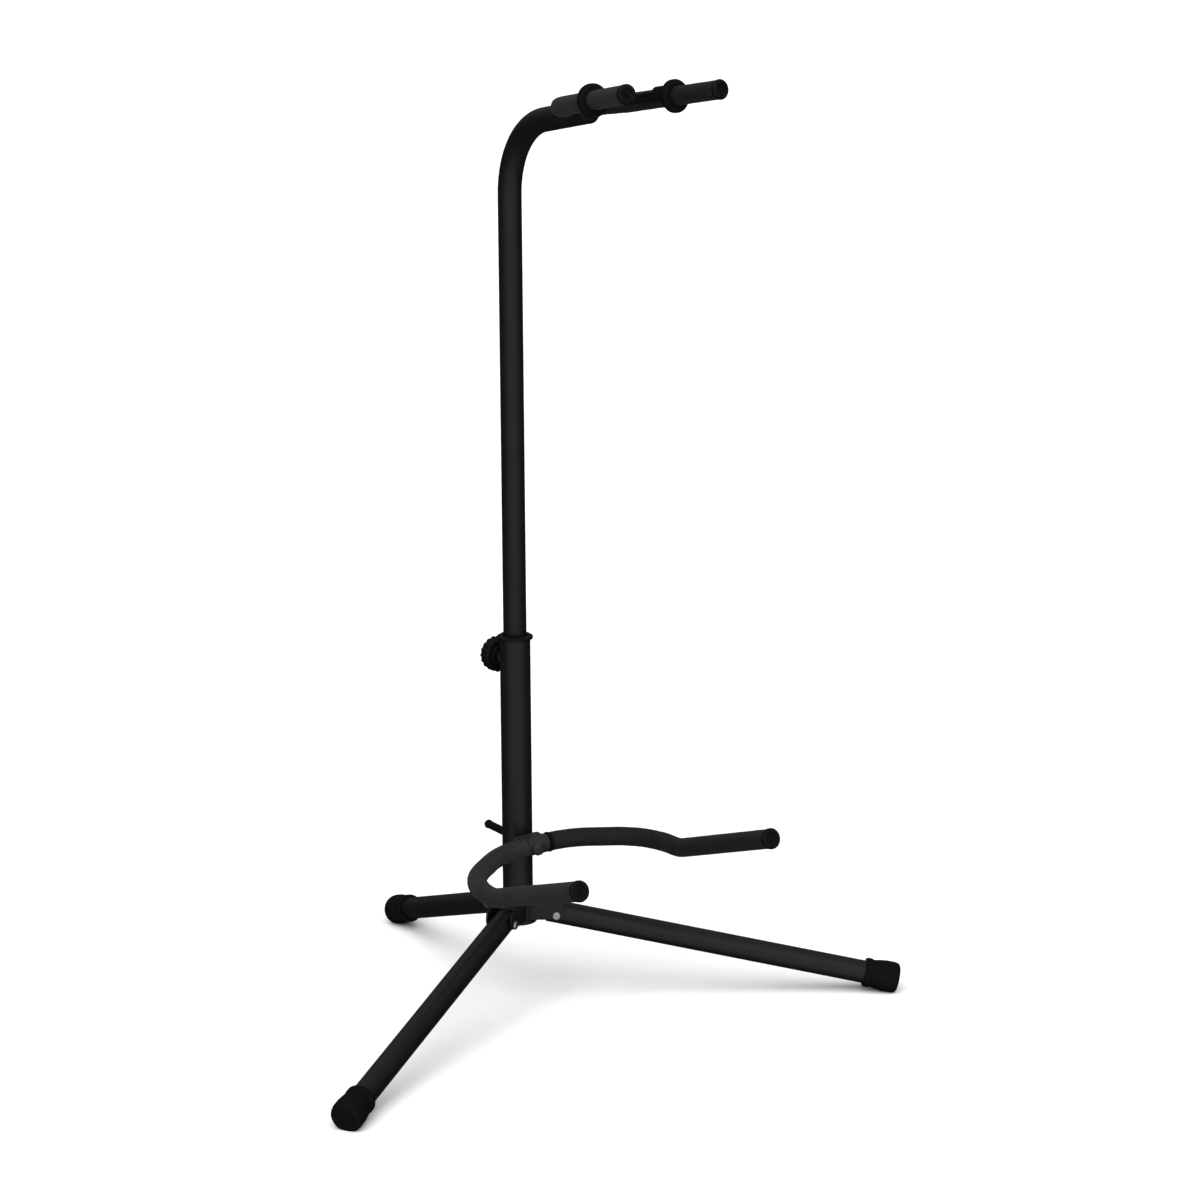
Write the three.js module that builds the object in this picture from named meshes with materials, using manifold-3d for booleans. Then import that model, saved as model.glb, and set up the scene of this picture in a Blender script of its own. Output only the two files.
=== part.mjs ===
// Folding tubular stand for one guitar: a telescopic mast on three folding legs, a padded
// cradle for the body and a padded yoke for the neck. Millimetres, +Z up, the player's side
// towards -Y, origin on the floor under the middle of the object's box.
import * as THREE from 'three';
import { mergeVertices } from 'three/addons/utils/BufferGeometryUtils.js';
import Module from 'manifold-3d';

const wasm = await Module();
wasm.setup();

// ---- driving dimensions ----

const GAP = 0.3; // clearance left between pieces that touch
const FREE = 0.4; // clearance round a pin, rod or tube in its hole
const PAST = 2; // how far a cutting shape reaches beyond what it cuts
const WALL = 1.2; // wall of every steel tube
const ROUND_SIDES = 20; // sides of a mast or leg tube
const ROD_SIDES = 12; // sides of a rod and its foam
const SMALL_SIDES = 12; // sides of rivets, bolts and their holes
const BEND_STEP = 11; // degrees of bend between two sections of a bent tube

const MAST_Y = 13.52; // the mast stands this far behind the origin
const LOWER_R = 12.5;
const LOWER_BOTTOM = 63;
const LOWER_TOP = 303.7;
const UPPER_R = 9.5;
const UPPER_BOTTOM = 212;
const NECK_BEND_Z = 716.7; // height at which the gooseneck's two straights would meet
const NECK_BEND_R = 62.4;
const NECK_REACH = 113.5; // from the mast's axis to the gooseneck's open end
const NECK_RISE = 0.1655; // rise of the gooseneck's end straight for each mm forward

const COLLAR_R = 14.7;
const COLLAR_TOP = 307;
const SKIRT_BOTTOM = 262.4; // lower end of the collar's skirt, which stops the foot bush
const BUSH_BOTTOM = 204;
const STUB = 8; // how far a plug or bush reaches into its tube

const KNOB_Z = 285;
const KNOB_R = 14.75;
const KNOB_FLUTES = 18;
const FLUTE_DEPTH = 1.1;
const BOSS_R = 7;
const BOSS_END = 19;
const KNOB_START = 19.5;
const KNOB_END = 33;
const STUD_R = 3.9;
const STUD_TIP = 9.95;
const KNOB_NECK_R = 9;
const KNOB_NECK = 2; // length of the knob's narrow part next to the boss
const SOCKET_DEPTH = 6; // of the hole in the knob that the stud is fixed in

const HUB_RING_R = 15.6;
const HUB_BOTTOM = 62.1;
const HUB_TOP = 84;
const EAR_THICK = 1.9;
const EAR_ROOT = 9.5; // from the mast's axis to the end of an ear inside the ring's wall
const EAR_BOTTOM = 66;
const EAR_TOP = 81.5;
const EAR_END = 39; // from the mast's axis to the outer end of an ear
const STOP_END = 26.2; // how far out the roof reaches that an open leg rests against
const STOP_BOTTOM = 79;
const PIVOT_R = 32; // from the mast's axis to a leg's rivet
const PIVOT_Z = 69.4;
const RIVET_R = 2.5;
const RIVET_HEAD_R = 3.6;
const RIVET_HEAD_HEIGHT = 1.6;

const LEG_R = 9.5;
const SLOT_HALF = LEG_R + FREE; // half the gap between a pair of ears
const LEG_BACK = 7.6; // how far a leg's tube reaches behind its rivet
const FOOT_Z = 10.2; // height of the centre of a boot's end
const BOOT_R = 13;
const BOOT_SOLE = 6; // thickness of rubber under the end of a leg's tube
const LEGS = [
  { side: 'right', turn: 56, foot: 316.4 },
  { side: 'left', turn: -56, foot: 316.4 },
  { side: 'rear', turn: 180, foot: 208.6 },
];

const CRADLE_Y = -24.5;
const CRADLE_Z = 133.4; // height of the bolt that the cradle turns on
const CRADLE_TILT = -2.8; // degrees that the cradle hangs off level, its right side up
const CRADLE_ROD_R = 5;
const CRADLE_FOAM_R = 7.75;
const CRADLE_CAP_R = 8.3;
const CAP_DEPTH = 3; // how far a tip's cap reaches back along its rod
const CAP_FACE = 1.8; // how far below a tip's cap its socket for the rod starts
const ROD_SHORT = CAP_FACE + GAP; // from a tip to the end of the rod inside its cap
const FOAM_RING_R = 8.45;
const FOAM_RING_WIDTH = 2.4; // width of the rubber ring at the end of the cradle's right foam
const BRACKET_HALF = 12.4;
const BRACKET_PLATE = 7; // half the height of the bracket's back plate
const KNUCKLE_LEFT = -6.6; // left end of the part folded round the rod
const BOLT_R = 2.5;
const BOLT_HEAD_R = 6;
const BOLT_HEAD_BACK = -33; // the face of the head that bears on the bracket
const NUT_R = 5.8;
const NUT_HEIGHT = 3.2;
const SLEEVE_R = 3.4;
const SLEEVE_START = 19; // where the rubber sleeve on the bolt's tail begins
const BOLT_END = 46;

const YOKE_ROD_R = 4;
const YOKE_FOAM_R = 7.15;
const YOKE_CAP_R = 7.5;
const YOKE_Y = -105.5;
const YOKE_LIFT = 4.2; // height of the yoke's rod over the gooseneck's axis
const RING_R = 12.5;
const RING_WIDTH = 7;
const RING_FROM_TIP = 53;
const FOAM_SPLIT = 12; // from the middle of the yoke to the start of either foam
const STRAP_DEPTH = 25; // how far the strap hangs back from the yoke's rod
const STRAP_HALF = [0.9, 3.4]; // half the strap's thickness and height
const TAB = [6, 2, 13]; // width, thickness and length of the pull tab
const TAB_TURN = 60; // degrees round the ring from its top to the tab
const TAB_R = 9.9; // from the ring's axis to the middle of the tab

// ---- solids ----

const radians = (degrees) => THREE.MathUtils.degToRad(degrees);

/** A geometry with its shared corners merged and its empty triangles dropped. */
function welded(geometry) {
  const bare = new THREE.BufferGeometry();
  bare.setAttribute('position', geometry.getAttribute('position'));
  bare.setIndex(geometry.getIndex());
  const merged = mergeVertices(bare, 1e-4);
  const source = merged.getIndex().array;
  const kept = [];
  for (let i = 0; i < source.length; i += 3) {
    const [a, b, c] = source.subarray(i, i + 3);
    if (a !== b && b !== c && c !== a) {
      kept.push(a, b, c);
    }
  }
  merged.setIndex(kept);
  return merged;
}

function solidOf(geometry) {
  const clean = welded(geometry);
  const mesh = new wasm.Mesh({
    numProp: 3,
    vertProperties: new Float32Array(clean.getAttribute('position').array),
    triVerts: new Uint32Array(clean.getIndex().array),
  });
  return new wasm.Manifold(mesh);
}

function geometryOf(solid) {
  const mesh = solid.getMesh();
  const geometry = new THREE.BufferGeometry();
  geometry.setAttribute('position', new THREE.BufferAttribute(mesh.vertProperties, 3));
  geometry.setIndex(new THREE.BufferAttribute(mesh.triVerts, 1));
  return geometry;
}

/** The first geometry with every other one cut away from it. */
function cut(geometry, ...cutters) {
  let solid = solidOf(geometry);
  for (const cutter of cutters) {
    solid = solid.subtract(solidOf(cutter));
  }
  return geometryOf(solid);
}

/** All the geometries as one solid. */
function joined(...geometries) {
  let solid = solidOf(geometries[0]);
  for (const other of geometries.slice(1)) {
    solid = solid.add(solidOf(other));
  }
  return geometryOf(solid);
}

/** Revolves a profile of [radius, height] points, listed upwards on the outside, about Z. */
function turned(profile, sides) {
  const points = profile.map(([radius, height]) => new THREE.Vector2(radius, height));
  const geometry = new THREE.LatheGeometry(points, sides);
  geometry.rotateX(Math.PI / 2);
  return welded(geometry);
}

/** A plain round bar about Z. */
function bar(radius, from, to, sides = SMALL_SIDES) {
  return turned([[0, from], [radius, from], [radius, to], [0, to]], sides);
}

/** A round bar along Y, from one y to another. */
function barAlongY(radius, from, to, sides = SMALL_SIDES) {
  return bar(radius, from, to, sides).rotateX(-Math.PI / 2);
}

function roundOutline(radius, sides) {
  const points = [];
  for (let i = 0; i < sides; i += 1) {
    const angle = (2 * Math.PI * i) / sides;
    points.push(new THREE.Vector2(radius * Math.cos(angle), radius * Math.sin(angle)));
  }
  return points;
}

/** A centre line given by its points, for extruding along. */
class PointLine extends THREE.Curve {
  constructor(points) {
    super();
    this.points = points;
  }

  getPointAt(share, target = new THREE.Vector3()) {
    return target.copy(this.points[Math.round(share * (this.points.length - 1))]);
  }

  getPoint(share, target) {
    return this.getPointAt(share, target);
  }

  getTangentAt(share, target = new THREE.Vector3()) {
    const last = this.points.length - 1;
    const index = Math.round(share * last);
    const before = this.points[Math.max(index - 1, 0)];
    const after = this.points[Math.min(index + 1, last)];
    const here = this.points[index];
    const arriving = here.clone().sub(before).normalize();
    const leaving = after.clone().sub(here).normalize();
    return target.copy(arriving).add(leaving).normalize();
  }

  getTangent(share, target) {
    return this.getTangentAt(share, target);
  }
}

/** The centre line of a bent tube: straights that would meet at corners, joined by round bends. */
function bentLine(corners, radii) {
  const line = [corners[0].clone()];
  for (let i = 1; i < corners.length - 1; i += 1) {
    const arriving = corners[i].clone().sub(corners[i - 1]).normalize();
    const leaving = corners[i + 1].clone().sub(corners[i]).normalize();
    const bend = arriving.angleTo(leaving);
    const radius = radii[i - 1];
    const start = corners[i].clone().addScaledVector(arriving, -radius * Math.tan(bend / 2));
    const inward = leaving.clone().addScaledVector(arriving, -leaving.dot(arriving)).normalize();
    const centre = start.clone().addScaledVector(inward, radius);
    const steps = Math.ceil(THREE.MathUtils.radToDeg(bend) / BEND_STEP);
    for (let k = 0; k <= steps; k += 1) {
      const angle = (bend * k) / steps;
      const point = centre.clone().addScaledVector(inward, -radius * Math.cos(angle));
      line.push(point.addScaledVector(arriving, radius * Math.sin(angle)));
    }
  }
  line.push(corners[corners.length - 1].clone());
  return line;
}

/** The stretch of a line between two distances from its start. */
function stretch(line, from, to) {
  const part = [];
  let travelled = 0;
  for (let i = 1; i < line.length; i += 1) {
    const length = line[i].distanceTo(line[i - 1]);
    if (part.length === 0 && travelled + length > from) {
      part.push(line[i - 1].clone().lerp(line[i], (from - travelled) / length));
    }
    if (travelled + length >= to) {
      part.push(line[i - 1].clone().lerp(line[i], (to - travelled) / length));
      return part;
    }
    if (part.length > 0) {
      part.push(line[i].clone());
    }
    travelled += length;
  }
  return part;
}

function lineLength(line) {
  let total = 0;
  for (let i = 1; i < line.length; i += 1) {
    total += line[i].distanceTo(line[i - 1]);
  }
  return total;
}

/** A round section, hollow if it has an inner radius, along a line of points. */
function tubeAlong(line, outer, inner, sides) {
  const shape = new THREE.Shape(roundOutline(outer, sides));
  if (inner > 0) {
    shape.holes.push(new THREE.Path(roundOutline(inner, sides)));
  }
  const options = { steps: line.length - 1, bevelEnabled: false, extrudePath: new PointLine(line) };
  return welded(new THREE.ExtrudeGeometry(shape, options));
}

/** A straight tube about Z. */
function uprightTube(outer, inner, from, to) {
  const profile = [[inner, from], [outer, from], [outer, to], [inner, to], [inner, from]];
  return turned(profile, ROUND_SIDES);
}

/** A flat outline of [y, z] points, given thickness along X about the middle plane. */
function plateAcrossX(outline, thickness) {
  const shape = new THREE.Shape(outline.map(([y, z]) => new THREE.Vector2(y, z)));
  const plate = new THREE.ExtrudeGeometry(shape, { depth: thickness, bevelEnabled: false });
  plate.translate(0, 0, -thickness / 2);
  plate.rotateY(Math.PI / 2);
  plate.rotateX(Math.PI / 2);
  return plate;
}

const at = (x, y, z) => new THREE.Vector3(x, y, z);

// ---- materials and placing ----

const FINISHES = {
  coated_steel: { color: 0x1b1b1d, roughness: 0.38, metalness: 0.4 },
  bright_steel: { color: 0xb9bcc0, roughness: 0.3, metalness: 0.9 },
  black_plastic: { color: 0x161617, roughness: 0.5, metalness: 0 },
  rubber: { color: 0x121213, roughness: 0.8, metalness: 0 },
  foam: { color: 0x2c2c2e, roughness: 0.9, metalness: 0 },
};

function piece(name, geometry, finish) {
  const mesh = new THREE.Mesh(geometry, new THREE.MeshStandardMaterial(FINISHES[finish]));
  mesh.name = name;
  return mesh;
}

/** Places a turned piece at a point, with its own Z axis along a direction. */
function aimed(mesh, point, direction) {
  mesh.position.copy(point);
  mesh.quaternion.setFromUnitVectors(at(0, 0, 1), direction.clone().normalize());
  return mesh;
}

// ---- mast ----

function lowerMastTube() {
  const tube = uprightTube(LOWER_R, LOWER_R - WALL, LOWER_BOTTOM, LOWER_TOP);
  const boltHole = barAlongY(BOLT_R + FREE, -LOWER_R - PAST, LOWER_R + PAST);
  boltHole.translate(0, 0, CRADLE_Z);
  const studHole = barAlongY(STUD_R + FREE, 0, LOWER_R + PAST);
  studHole.translate(0, 0, KNOB_Z);
  return piece('lower_mast_tube', cut(tube, boltHole, studHole), 'coated_steel');
}

function mastCollar() {
  const bore = UPPER_R + GAP;
  const skirt = LOWER_R - WALL - GAP;
  const body = turned([
    [bore, SKIRT_BOTTOM], [skirt, SKIRT_BOTTOM], [skirt, LOWER_TOP + GAP],
    [COLLAR_R, LOWER_TOP + GAP], [COLLAR_R, COLLAR_TOP - 1], [COLLAR_R - 1.5, COLLAR_TOP],
    [bore, COLLAR_TOP], [bore, SKIRT_BOTTOM],
  ], ROUND_SIDES);
  const studHole = barAlongY(STUD_R + FREE, 0, LOWER_R + PAST);
  studHole.translate(0, 0, KNOB_Z);
  return piece('mast_collar', cut(body, studHole), 'black_plastic');
}

function footBush() {
  const disc = LOWER_R - WALL - GAP;
  const stub = UPPER_R - WALL - GAP;
  const shoulder = UPPER_BOTTOM - GAP;
  const body = turned([
    [0, BUSH_BOTTOM], [disc - 1, BUSH_BOTTOM], [disc, BUSH_BOTTOM + 1], [disc, shoulder],
    [stub, shoulder], [stub, shoulder + STUB], [0, shoulder + STUB],
  ], ROUND_SIDES);
  return piece('tube_foot_bush', body, 'black_plastic');
}

/** Centre line of the upper tube, from its lower end to the gooseneck's open end. */
function upperLine() {
  const end = at(0, -NECK_REACH, NECK_BEND_Z + NECK_REACH * NECK_RISE);
  return bentLine([at(0, 0, UPPER_BOTTOM), at(0, 0, NECK_BEND_Z), end], [NECK_BEND_R]);
}

/** The centre of the yoke's rod where it crosses the gooseneck. */
function yokeCentre() {
  return at(0, YOKE_Y, NECK_BEND_Z - YOKE_Y * NECK_RISE + YOKE_LIFT);
}

function upperMast() {
  const line = upperLine();
  const centre = yokeCentre();
  const rodHole = bar(YOKE_ROD_R + 2 * GAP, -UPPER_R - PAST, UPPER_R + PAST, ROD_SIDES);
  rodHole.rotateY(Math.PI / 2);
  rodHole.translate(centre.x, centre.y, centre.z);
  const tube = cut(tubeAlong(line, UPPER_R, UPPER_R - WALL, ROUND_SIDES), rodHole);
  const stub = UPPER_R - WALL - GAP;
  const plug = turned([
    [0, -2.2], [stub, -2.2], [stub, GAP], [UPPER_R, GAP],
    [UPPER_R, 1.8], [UPPER_R - 2.2, 3.6], [0, 4.2],
  ], ROUND_SIDES);
  const end = line[line.length - 1];
  const direction = end.clone().sub(line[line.length - 2]);
  return [
    piece('upper_mast_tube', tube, 'coated_steel'),
    aimed(piece('gooseneck_plug', plug, 'black_plastic'), end, direction),
  ];
}

// ---- height knob ----

function knobBoss() {
  const boss = barAlongY(BOSS_R, LOWER_R - 2, BOSS_END, ROD_SIDES);
  const hole = barAlongY(STUD_R + FREE, 0, BOSS_END + PAST);
  const mast = bar(LOWER_R + GAP, -BOSS_R - PAST, BOSS_R + PAST, ROUND_SIDES);
  const mesh = piece('knob_boss', cut(boss, hole, mast), 'coated_steel');
  mesh.position.z = KNOB_Z;
  return mesh;
}

function knob() {
  const outline = [];
  for (let i = 0; i < 2 * KNOB_FLUTES; i += 1) {
    const radius = i % 2 === 0 ? KNOB_R : KNOB_R - FLUTE_DEPTH;
    const angle = (Math.PI * i) / KNOB_FLUTES;
    outline.push(new THREE.Vector2(radius * Math.cos(angle), radius * Math.sin(angle)));
  }
  const depth = KNOB_END - KNOB_START - KNOB_NECK;
  const rim = new THREE.ExtrudeGeometry(new THREE.Shape(outline), { depth, bevelEnabled: false });
  rim.translate(0, 0, KNOB_START + KNOB_NECK);
  const neck = bar(KNOB_NECK_R, KNOB_START, KNOB_START + KNOB_NECK + 1, ROD_SIDES);
  const socket = bar(STUD_R + FREE, KNOB_START - PAST, KNOB_START + SOCKET_DEPTH);
  const grip = cut(joined(rim, neck), socket).rotateX(-Math.PI / 2);
  const studEnd = KNOB_START + SOCKET_DEPTH - FREE;
  const parts = [
    piece('knob_grip', grip, 'black_plastic'),
    piece('knob_stud', barAlongY(STUD_R, STUD_TIP, studEnd), 'bright_steel'),
  ];
  for (const part of parts) {
    part.position.z = KNOB_Z;
  }
  return parts;
}

// ---- hub and legs ----

/** Slope of a leg below the horizontal, from its rivet to its foot. */
function legSlope(leg) {
  return Math.atan((PIVOT_Z - FOOT_Z) / (leg.foot - PIVOT_R));
}

/** One pair of ears in the leg's own frame, where the leg points along -Y. */
function clevis(leg) {
  const halfWidth = SLOT_HALF + EAR_THICK;
  const ear = plateAcrossX([
    [-EAR_ROOT, EAR_BOTTOM], [-EAR_END + 3.5, EAR_BOTTOM], [-EAR_END, EAR_BOTTOM + 3],
    [-EAR_END, EAR_TOP - 5], [-EAR_END + 5, EAR_TOP], [-EAR_ROOT, EAR_TOP],
  ], 2 * halfWidth);
  // The slot stops under a short roof, whose end the inner end of the open leg rests against.
  const inner = HUB_RING_R + FREE;
  const slot = plateAcrossX([
    [-inner, EAR_BOTTOM - PAST], [-EAR_END - PAST, EAR_BOTTOM - PAST],
    [-EAR_END - PAST, EAR_TOP + PAST], [-STOP_END, EAR_TOP + PAST],
    [-STOP_END, STOP_BOTTOM], [-inner, STOP_BOTTOM],
  ], 2 * SLOT_HALF);
  const hole = bar(RIVET_R + FREE, -halfWidth - PAST, halfWidth + PAST).rotateY(Math.PI / 2);
  hole.translate(0, -PIVOT_R, PIVOT_Z);
  return cut(ear, slot, hole).rotateZ(radians(leg.turn));
}

function legHub() {
  const ring = bar(HUB_RING_R, HUB_BOTTOM, HUB_TOP, ROUND_SIDES);
  const bore = bar(LOWER_R + GAP, HUB_BOTTOM - PAST, HUB_TOP + PAST, ROUND_SIDES);
  const body = cut(joined(ring, ...LEGS.map(clevis)), bore);
  return piece('leg_hub', body, 'coated_steel');
}

function hubPlug() {
  const stub = LOWER_R - WALL - GAP;
  const flange = LOWER_R;
  const top = LOWER_BOTTOM - GAP;
  const body = turned([
    [0, top - 2.4], [flange - 1.5, top - 2.4], [flange, top - 1.2], [flange, top],
    [stub, top], [stub, top + STUB], [0, top + STUB],
  ], ROUND_SIDES);
  return piece('hub_plug', body, 'black_plastic');
}

function legRivet(leg) {
  const head = SLOT_HALF + EAR_THICK + GAP;
  const top = head + RIVET_HEAD_HEIGHT;
  const body = turned([
    [0, -top], [RIVET_HEAD_R * 0.6, -top + 0.3], [RIVET_HEAD_R, -head], [RIVET_R, -head],
    [RIVET_R, head], [RIVET_HEAD_R, head], [RIVET_HEAD_R * 0.6, top - 0.3], [0, top],
  ], SMALL_SIDES);
  body.rotateY(Math.PI / 2);
  const mesh = piece(`leg_rivet_${leg.side}`, body, 'bright_steel');
  mesh.position.set(0, -PIVOT_R, PIVOT_Z);
  return mesh;
}

function legTube(leg) {
  const slope = legSlope(leg);
  const length = (leg.foot - PIVOT_R) / Math.cos(slope);
  const outward = at(0, -Math.cos(slope), -Math.sin(slope));
  const pivot = at(0, -PIVOT_R, PIVOT_Z);
  const inner = pivot.clone().addScaledVector(outward, -LEG_BACK);
  const outer = pivot.clone().addScaledVector(outward, length - BOOT_SOLE - FREE);
  const hole = bar(RIVET_R + FREE, -LEG_R - PAST, LEG_R + PAST).rotateY(Math.PI / 2);
  hole.translate(pivot.x, pivot.y, pivot.z);
  const tube = tubeAlong([inner, outer], LEG_R, LEG_R - WALL, ROUND_SIDES);
  return piece(`leg_tube_${leg.side}`, cut(tube, hole), 'coated_steel');
}

/** A rubber boot, with the patch that it stands on cut flat at floor level. */
function legBoot(leg) {
  const slope = legSlope(leg);
  const bore = LEG_R + FREE;
  const boot = turned([
    [0, 0], [9.5, 0], [12, 1.4], [BOOT_R, 4.5], [BOOT_R, 12], [12, 19.5], [11.3, 22.5],
    [12.2, 24.5], [12.2, 27.5], [11, 29], [bore, 29], [bore, BOOT_SOLE], [0, BOOT_SOLE],
  ], ROUND_SIDES);
  boot.applyQuaternion(new THREE.Quaternion().setFromUnitVectors(
    at(0, 0, 1), at(0, Math.cos(slope), Math.sin(slope)),
  ));
  boot.translate(0, -leg.foot, FOOT_Z);
  const floor = new THREE.BoxGeometry(100, 100, 20);
  floor.translate(0, -leg.foot, -10);
  return piece(`leg_boot_${leg.side}`, cut(boot, floor), 'rubber');
}

// ---- cradle ----

const mirrored = (points) => points.map((p) => at(-p.x, p.y, p.z)).reverse();

/** Centre line of the cradle's rod, from the left tip to the right one, about the bolt's axis. */
function cradleLine() {
  const right = [
    at(32, CRADLE_Y, 0), at(86.5, -66, 0), at(88.5, -107.5, 0), at(88.6, -236, 43.2),
  ];
  return bentLine([...mirrored(right), ...right], [38, 64, 60, 60, 64, 38]);
}

/** The folded sheet that holds the rod against the mast, with the bolt through it. */
function cradleBracket(centre) {
  const knuckle = bar(CRADLE_FOAM_R, KNUCKLE_LEFT, BRACKET_HALF, ROUND_SIDES).rotateY(Math.PI / 2);
  knuckle.translate(0, centre.y, 0);
  const back = -LOWER_R - 2 * GAP;
  const plateFront = centre.y + CRADLE_FOAM_R + FREE;
  const plate = new THREE.BoxGeometry(2 * BRACKET_HALF, back - plateFront, 2 * BRACKET_PLATE);
  plate.translate(0, (plateFront + back) / 2, 0);
  const neckFront = centre.y + CRADLE_ROD_R;
  const neckLength = BRACKET_HALF - KNUCKLE_LEFT;
  const neck = new THREE.BoxGeometry(neckLength, back - neckFront, 2 * BRACKET_PLATE);
  neck.translate(BRACKET_HALF - neckLength / 2, (neckFront + back) / 2, 0);
  const rodHole = bar(CRADLE_ROD_R + FREE, -BRACKET_HALF, BRACKET_HALF + PAST, ROD_SIDES);
  rodHole.rotateY(Math.PI / 2);
  rodHole.translate(0, centre.y, 0);
  const boltHole = barAlongY(BOLT_R + FREE, centre.y - CRADLE_FOAM_R - PAST, -LOWER_R);
  const body = cut(joined(knuckle, neck, plate), rodHole, boltHole);
  return piece('cradle_bracket', body, 'coated_steel');
}

/** A cap over a rod's tip: a flat end with a raised rim and a centre pip. */
function tipCap(name, radius, rodRadius) {
  const bore = rodRadius + FREE;
  const body = turned([
    [0, 0.5], [1.2, 0.5], [1.2, 0], [2, -0.4], [radius * 0.55, -0.4], [radius * 0.6, 0.4],
    [radius - 1.4, 0.4], [radius, -1], [radius, -CAP_DEPTH], [bore, -CAP_DEPTH], [bore, -CAP_FACE],
    [0, -CAP_FACE],
  ].reverse(), ROUND_SIDES);
  return piece(name, body, 'black_plastic');
}

function cradle() {
  const line = cradleLine();
  const half = lineLength(line) / 2;
  const centre = stretch(line, half, half + 1)[0];
  const foamEnd = CAP_DEPTH + GAP;
  const rodHole = barAlongY(BOLT_R + FREE, centre.y - CRADLE_FOAM_R, centre.y + CRADLE_FOAM_R);
  const rodLine = stretch(line, ROD_SHORT, 2 * half - ROD_SHORT);
  const rod = cut(tubeAlong(rodLine, CRADLE_ROD_R, 0, ROD_SIDES), rodHole);
  const parts = [piece('cradle_rod', rod, 'coated_steel'), cradleBracket(centre)];

  const ringFrom = BRACKET_HALF + 1;
  const ringLine = stretch(line, half + ringFrom, half + ringFrom + FOAM_RING_WIDTH);
  const ring = tubeAlong(ringLine, FOAM_RING_R, CRADLE_ROD_R + FREE, ROD_SIDES);
  parts.push(piece('foam_end_ring', ring, 'rubber'));

  const starts = { left: FREE - KNUCKLE_LEFT, right: ringFrom + FOAM_RING_WIDTH + GAP };
  const foamLines = {
    left: stretch(line, foamEnd, half - starts.left),
    right: stretch(line, half + starts.right, 2 * half - foamEnd),
  };
  const tips = { left: [line[0], line[1]], right: [line.at(-1), line.at(-2)] };
  for (const side of ['left', 'right']) {
    const foam = tubeAlong(foamLines[side], CRADLE_FOAM_R, CRADLE_ROD_R + FREE, ROD_SIDES);
    parts.push(piece(`cradle_foam_${side}`, foam, 'foam'));
    const cap = tipCap(`cradle_cap_${side}`, CRADLE_CAP_R, CRADLE_ROD_R);
    const [tip, behind] = tips[side];
    parts.push(aimed(cap, tip, tip.clone().sub(behind)));
  }
  return parts;
}

/** The bolt that the cradle turns on, its nut and the cap on its free end. */
function cradlePivot() {
  const bolt = turned([
    [0, BOLT_HEAD_BACK - 3.6], [3.2, BOLT_HEAD_BACK - 3.2], [5.2, BOLT_HEAD_BACK - 1.8],
    [BOLT_HEAD_R, BOLT_HEAD_BACK], [BOLT_R, BOLT_HEAD_BACK], [BOLT_R, BOLT_END], [0, BOLT_END],
  ], ROD_SIDES).rotateX(-Math.PI / 2);
  const nutFrom = LOWER_R + FREE;
  const nutBore = BOLT_R + 0.8; // out to the corners of its six-sided hole
  const nutTo = nutFrom + NUT_HEIGHT;
  const nut = turned([
    [nutBore, nutFrom], [NUT_R, nutFrom], [NUT_R, nutTo], [nutBore, nutTo],
    [nutBore, nutFrom],
  ], 6).rotateX(-Math.PI / 2);
  const sleeveBore = BOLT_R + GAP;
  const cap = turned([
    [sleeveBore, SLEEVE_START], [SLEEVE_R, SLEEVE_START], [SLEEVE_R, BOLT_END - 4],
    [SLEEVE_R + 0.3, BOLT_END],
    [2.6, BOLT_END + 2.2], [0, BOLT_END + 2.6], [0, BOLT_END + FREE],
    [sleeveBore, BOLT_END + FREE], [sleeveBore, SLEEVE_START],
  ], ROD_SIDES).rotateX(-Math.PI / 2);
  const parts = [
    piece('pivot_bolt', bolt, 'coated_steel'),
    piece('pivot_nut', nut, 'bright_steel'),
    piece('pivot_end_cap', cap, 'rubber'),
  ];
  for (const part of parts) {
    part.position.z = CRADLE_Z;
  }
  return parts;
}

// ---- neck yoke ----

function yokeLine() {
  const centre = yokeCentre();
  const right = [at(29.8, centre.y, centre.z), at(41, -228, 756.5)];
  return bentLine([...mirrored(right), ...right], [28, 28]);
}

/** A rubber ring that grips the foam, with a short pull tab where it has one. */
function yokeRing(name, hasTab) {
  const bore = YOKE_FOAM_R + FREE;
  const half = RING_WIDTH / 2;
  const ring = turned([
    [bore, -half], [RING_R - 2.2, -half], [RING_R, -half + 2], [RING_R, half - 2],
    [RING_R - 2.2, half], [bore, half], [bore, -half],
  ], ROUND_SIDES);
  if (!hasTab) {
    return piece(name, ring, 'rubber');
  }
  const [tabWidth, tabThickness, tabLength] = TAB;
  const tab = new THREE.BoxGeometry(tabWidth, tabThickness, tabLength);
  tab.translate(0, TAB_R, -half - tabLength / 2 + 1);
  tab.rotateZ(radians(TAB_TURN));
  return piece(name, joined(ring, tab), 'rubber');
}

/** The slack band between the two rings, lying back inside the yoke. */
function neckStrap(ringLeft, ringRight) {
  const inset = RING_R + 1.5;
  const left = at(ringLeft.x + inset, ringLeft.y, ringLeft.z);
  const right = at(ringRight.x - inset, ringRight.y, ringRight.z);
  const back = YOKE_Y - YOKE_FOAM_R - STRAP_DEPTH;
  const leftCorner = at(left.x + 4, back, left.z - 4);
  const rightCorner = at(right.x - 4, back, right.z - 4);
  const line = bentLine([left, leftCorner, rightCorner, right], [11, 11]);
  const [thick, high] = STRAP_HALF;
  const corners = [[-thick, -high], [thick, -high], [thick, high], [-thick, high]];
  const section = new THREE.Shape(corners.map(([x, y]) => new THREE.Vector2(x, y)));
  const options = { steps: line.length - 1, bevelEnabled: false, extrudePath: new PointLine(line) };
  return piece('neck_strap', new THREE.ExtrudeGeometry(section, options), 'rubber');
}

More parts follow.
